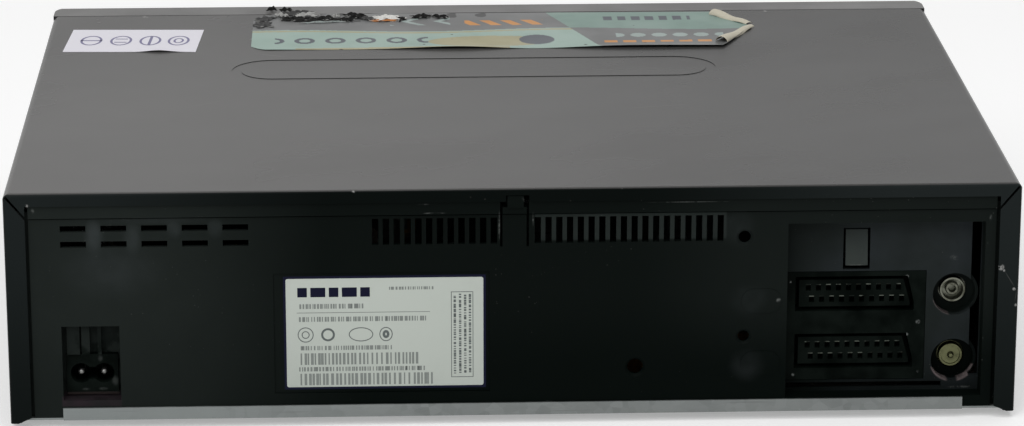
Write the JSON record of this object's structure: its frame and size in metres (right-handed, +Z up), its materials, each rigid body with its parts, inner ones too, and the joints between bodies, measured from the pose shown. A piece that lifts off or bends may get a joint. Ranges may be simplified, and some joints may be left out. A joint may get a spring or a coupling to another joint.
{
  "type": "video cassette recorder",
  "caption": "Front-loading home video cassette recorder with a steel cover, rear sockets, hinged cassette door, pressable keys and a complete tape deck inside.",
  "frame": {"origin": "middle of the footprint, on the surface that the feet stand on", "axes": "+X along the width, towards the mains inlet side; +Y towards the socket panel at the rear; +Z up"},
  "size_m": [0.38, 0.285, 0.0931],
  "materials": {
    "cover_steel": "satin",
    "zinc_plate": "satin",
    "black_plastic": "matte",
    "frame_plastic": "matte",
    "rubber": "matte",
    "steel": "satin",
    "window_plastic": "gloss",
    "label_film": "satin",
    "white_paper": "matte",
    "sticker_paper": "matte",
    "key_plastic": "satin",
    "gold_contact": "polished",
    "tinned_can": "satin",
    "socket_metal": "satin",
    "board_material": "matte",
    "winding": "satin",
    "capacitor_sleeve": "gloss",
    "aluminium": "satin",
    "chip_black": "matte",
    "tube_glass": "gloss",
    "bronze": "satin",
    "ivory_plastic": "satin",
    "grey_plastic": "satin"
  },
  "bodies": {
    "case": {"top_cover": "cover_steel", "bottom_plate": "zinc_plate", "front_panel": "black_plastic", "rear_panel": "black_plastic", "chassis_frame": "frame_plastic", "feet": "rubber", "screws": "steel", "door_spring": "steel", "display_window": "window_plastic", "rating_label": "label_film", "stock_label": "white_paper", "torn_sticker": "sticker_paper", "scart_sockets": "black_plastic", "scart_contacts": "gold_contact", "tuner_can": "tinned_can", "aerial_sockets": "socket_metal", "mains_inlet": "black_plastic", "mains_pins": "steel", "circuit_boards": "board_material", "mains_transformer": "winding", "capacitors": "capacitor_sleeve", "heat_sinks": "aluminium", "chips": "chip_black", "display_board": "board_material", "display_tube": "tube_glass", "key_switches": "grey_plastic", "deck_plate": "zinc_plate", "lower_drum": "aluminium", "capstan_bush": "bronze", "drive_belt": "rubber", "loading_motor": "steel", "tape_heads": "aluminium", "cassette_cage": "zinc_plate"},
    "door": {"cassette_door": "black_plastic"},
    "carriage": {"carriage": "steel"},
    "holder": {"cassette_holder": "steel"},
    "standby": {"standby_key": "key_plastic"},
    "eject": {"eject_key": "key_plastic"},
    "play": {"play_key": "key_plastic"},
    "rewind": {"rewind_key": "key_plastic"},
    "fast_forward": {"fast_forward_key": "key_plastic"},
    "record": {"record_key": "key_plastic"},
    "channel_down": {"channel_down_key": "key_plastic"},
    "channel_up": {"channel_up_key": "key_plastic"},
    "head_drum": {"upper_drum": "aluminium", "video_heads": "gold_contact"},
    "capstan": {"capstan": "steel"},
    "clutch": {"clutch_pulley": "grey_plastic"},
    "idler_arm": {"idler_arm": "ivory_plastic"},
    "idler_wheel": {"idler_wheel": "rubber"},
    "supply_reel": {"supply_reel": "grey_plastic"},
    "take_up_reel": {"take_up_reel": "grey_plastic"},
    "pinch_arm": {"pinch_arm": "steel"},
    "pinch_roller": {"pinch_roller": "rubber"},
    "motor_pinion": {"motor_pinion": "ivory_plastic"},
    "cam_gear": {"cam_gear": "ivory_plastic"},
    "supply_guide": {"supply_guide": "steel"},
    "take_up_guide": {"take_up_guide": "steel"},
    "tension_arm": {"tension_arm": "steel"},
    "brake_bar": {"brake_bar": "ivory_plastic"}
  },
  "joints": [
    {"name": "door_hinge", "type": "hinge", "parent": "case", "child": "door", "pos_m": [-0.012, -0.1376, 0.0872], "axis": [1, 0, 0], "range_deg": [0, 80], "stiffness_Nm_per_rad": 0.01, "springref_deg": -20.05},
    {"name": "carriage_slide", "type": "slide", "parent": "case", "child": "carriage", "axis": [0, 1, 0], "range_m": [0, 0.065]},
    {"name": "holder_drop", "type": "slide", "parent": "carriage", "child": "holder", "axis": [0, 0, -1], "range_m": [0, 0.018]},
    {"name": "standby_press", "type": "slide", "parent": "case", "child": "standby", "axis": [0, 1, 0], "range_m": [0, 0.0012], "stiffness_N_per_m": 400, "springref_m": -0.001},
    {"name": "eject_press", "type": "slide", "parent": "case", "child": "eject", "axis": [0, 1, 0], "range_m": [0, 0.0012], "stiffness_N_per_m": 400, "springref_m": -0.001},
    {"name": "play_press", "type": "slide", "parent": "case", "child": "play", "axis": [0, 1, 0], "range_m": [0, 0.0012], "stiffness_N_per_m": 400, "springref_m": -0.001},
    {"name": "rewind_press", "type": "slide", "parent": "case", "child": "rewind", "axis": [0, 1, 0], "range_m": [0, 0.0012], "stiffness_N_per_m": 400, "springref_m": -0.001},
    {"name": "fast_forward_press", "type": "slide", "parent": "case", "child": "fast_forward", "axis": [0, 1, 0], "range_m": [0, 0.0012], "stiffness_N_per_m": 400, "springref_m": -0.001},
    {"name": "record_press", "type": "slide", "parent": "case", "child": "record", "axis": [0, 1, 0], "range_m": [0, 0.0012], "stiffness_N_per_m": 400, "springref_m": -0.001},
    {"name": "channel_down_press", "type": "slide", "parent": "case", "child": "channel_down", "axis": [0, 1, 0], "range_m": [0, 0.0012], "stiffness_N_per_m": 400, "springref_m": -0.001},
    {"name": "channel_up_press", "type": "slide", "parent": "case", "child": "channel_up", "axis": [0, 1, 0], "range_m": [0, 0.0012], "stiffness_N_per_m": 400, "springref_m": -0.001},
    {"name": "drum_spin", "type": "hinge", "parent": "case", "child": "head_drum", "pos_m": [-0.012, 0.049, 0.0374], "axis": [0, -0.104, 0.9946], "continuous": true},
    {"name": "capstan_spin", "type": "hinge", "parent": "case", "child": "capstan", "pos_m": [0.04, 0.012, 0.03], "axis": [0, 0, 1], "continuous": true},
    {"name": "clutch_spin", "type": "hinge", "parent": "case", "child": "clutch", "pos_m": [-0.012, -0.02, 0.04], "axis": [0, 0, 1], "continuous": true},
    {"name": "idler_swing", "type": "hinge", "parent": "case", "child": "idler_arm", "pos_m": [-0.012, -0.02, 0.038], "axis": [0, 0, 1], "range_deg": [-11.5, 11.5]},
    {"name": "idler_spin", "type": "hinge", "parent": "idler_arm", "child": "idler_wheel", "pos_m": [-0.012, -0.0503, 0.04], "axis": [0, 0, 1], "continuous": true},
    {"name": "supply_reel_spin", "type": "hinge", "parent": "case", "child": "supply_reel", "pos_m": [-0.0582, -0.054, 0.042], "axis": [0, 0, 1], "continuous": true},
    {"name": "take_up_reel_spin", "type": "hinge", "parent": "case", "child": "take_up_reel", "pos_m": [0.0342, -0.054, 0.042], "axis": [0, 0, 1], "continuous": true},
    {"name": "pinch_swing", "type": "hinge", "parent": "case", "child": "pinch_arm", "pos_m": [0.06, 0.022, 0.048], "axis": [0, 0, 1], "range_deg": [-25, 0]},
    {"name": "pinch_roller_spin", "type": "hinge", "parent": "pinch_arm", "child": "pinch_roller", "pos_m": [0.05409, 0.00081, 0.055], "axis": [0, 0, 1], "continuous": true},
    {"name": "cam_spin", "type": "hinge", "parent": "case", "child": "cam_gear", "pos_m": [0.066, 0.055, 0.047], "axis": [0, 0, 1], "continuous": true},
    {"name": "pinion_spin", "type": "hinge", "parent": "case", "child": "motor_pinion", "pos_m": [0.066, 0.0753, 0.04], "axis": [0, 0, 1], "continuous": true},
    {"name": "supply_guide_slide", "type": "slide", "parent": "case", "child": "supply_guide", "axis": [-0.229, 0.9734, 0], "range_m": [0, 0.0698]},
    {"name": "take_up_guide_slide", "type": "slide", "parent": "case", "child": "take_up_guide", "axis": [0.229, 0.9734, 0], "range_m": [0, 0.0698]},
    {"name": "tension_swing", "type": "hinge", "parent": "case", "child": "tension_arm", "pos_m": [-0.084, 0.016, 0.048], "axis": [0, 0, 1], "range_deg": [0, 25], "stiffness_Nm_per_rad": 0.004, "springref_deg": -17.19},
    {"name": "brake_release", "type": "slide", "parent": "case", "child": "brake_bar", "axis": [0, -1, 0], "range_m": [0, 0.003]}
  ],
  "couplings": [
    {"joint": "clutch_spin", "follows": "capstan_spin", "ratio": 0.66667},
    {"joint": "idler_spin", "follows": "capstan_spin", "ratio": -0.33333},
    {"joint": "pinion_spin", "follows": "cam_spin", "ratio": -3},
    {"joint": "supply_guide_slide", "follows": "take_up_guide_slide", "ratio": 1}
  ]
}
